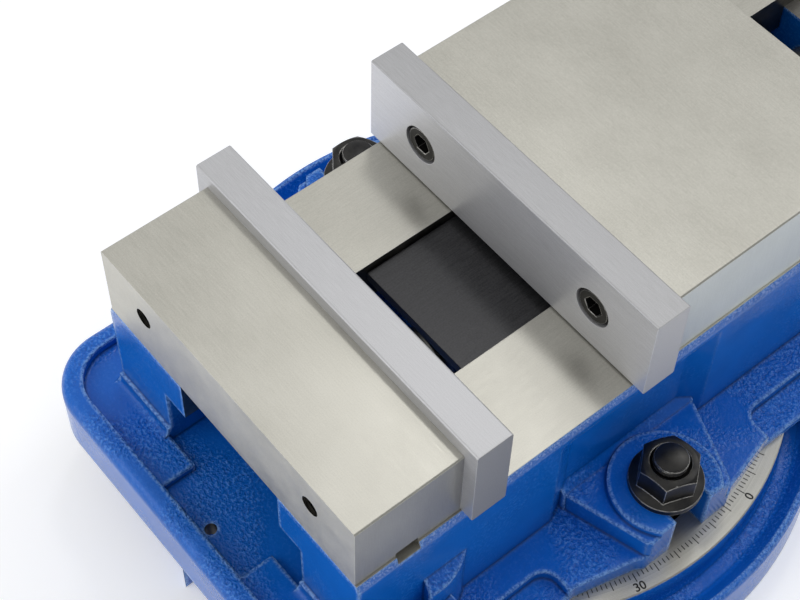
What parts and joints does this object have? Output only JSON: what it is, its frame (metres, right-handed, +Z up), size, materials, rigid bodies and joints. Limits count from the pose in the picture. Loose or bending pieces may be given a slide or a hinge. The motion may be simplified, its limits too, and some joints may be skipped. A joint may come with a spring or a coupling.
{
  "type": "swivel machine vise",
  "caption": "Machine vise with ground jaws and hardened plates, a screw-driven pull-down movable jaw and a cast body clamped to a round graduated swivel base.",
  "frame": {"origin": "on the swivel axis, at the underside of the base", "axes": "+Z up along the swivel axis, +Y along the screw from the handle towards the fixed jaw, +X across the jaws"},
  "size_m": [0.278, 0.5397, 0.15],
  "materials": {
    "blue_enamel": "gloss enamel on cast iron",
    "ground_iron": "surface ground",
    "hard_steel": "hardened and finely ground",
    "turned_steel": "turned",
    "black_oxide": "black oxide, satin",
    "black_plate": "satin black",
    "bronze": "turned bronze",
    "ductile_iron": "machined",
    "seal_rubber": "moulded",
    "grip_plastic": "moulded",
    "crank_enamel": "gloss enamel on cast iron"
  },
  "bodies": {
    "base": {"swivel_base": "blue_enamel", "pivot_pin": "turned_steel"},
    "body": {"vise_body": "blue_enamel", "fixed_jaw": "ground_iron", "fixed_jaw_key": "hard_steel", "fixed_jaw_bolts": "black_oxide", "fixed_jaw_plate": "hard_steel", "fixed_plate_screws": "black_oxide", "clamp_studs": "black_oxide", "bearing_cap": "black_oxide", "bearing_cap_screws": "black_oxide", "screw_bush": "bronze", "screw_seal": "seal_rubber", "wall_race": "hard_steel"},
    "nut_near": {"clamp_nut_near": "black_oxide"},
    "nut_far": {"clamp_nut_far": "black_oxide"},
    "jaw": {"movable_jaw": "ground_iron", "movable_jaw_plate": "hard_steel", "movable_plate_screws": "black_oxide", "lead_nut": "ductile_iron", "half_ball": "hard_steel", "adjusting_screw": "black_oxide", "chip_guard": "black_plate", "chip_guard_screws": "black_oxide"},
    "screw": {"lead_screw": "turned_steel", "collar_race": "hard_steel", "lock_collar": "black_oxide", "lock_collar_screw": "black_oxide", "crank": "crank_enamel", "crank_setscrew": "black_oxide", "grip_pin": "turned_steel"},
    "cage": {"needle_cage": "bronze"},
    "grip": {"crank_grip": "grip_plastic"}
  },
  "joints": [
    {"name": "swivel", "type": "hinge", "parent": "base", "child": "body", "pos_m": [0, 0, 0.033], "axis": [0, 0, 1], "continuous": true},
    {"name": "jaw_slide", "type": "slide", "parent": "body", "child": "jaw", "axis": [0, 1, 0], "range_m": [-0.0928, 0.067]},
    {"name": "screw_turn", "type": "hinge", "parent": "body", "child": "screw", "pos_m": [0, -0.2, 0.069], "axis": [0, 1, 0], "range_deg": [-6690, 4830]},
    {"name": "cage_turn", "type": "hinge", "parent": "body", "child": "cage", "pos_m": [0, -0.1895, 0.069], "axis": [0, 1, 0], "range_deg": [-3345, 2415]},
    {"name": "grip_turn", "type": "hinge", "parent": "screw", "child": "grip", "pos_m": [-0.10825, -0.33, 0.1315], "axis": [0, 1, 0], "continuous": true},
    {"name": "nut_near_turn", "type": "hinge", "parent": "body", "child": "nut_near", "pos_m": [-0.0957, 0, 0.06], "axis": [0, 0, 1], "continuous": true},
    {"name": "nut_far_turn", "type": "hinge", "parent": "body", "child": "nut_far", "pos_m": [0.0957, 0, 0.06], "axis": [0, 0, 1], "continuous": true}
  ],
  "couplings": [
    {"joint": "screw_turn", "follows": "jaw_slide", "rad_per_m": 1256.6},
    {"joint": "cage_turn", "follows": "jaw_slide", "rad_per_m": 628.32}
  ]
}
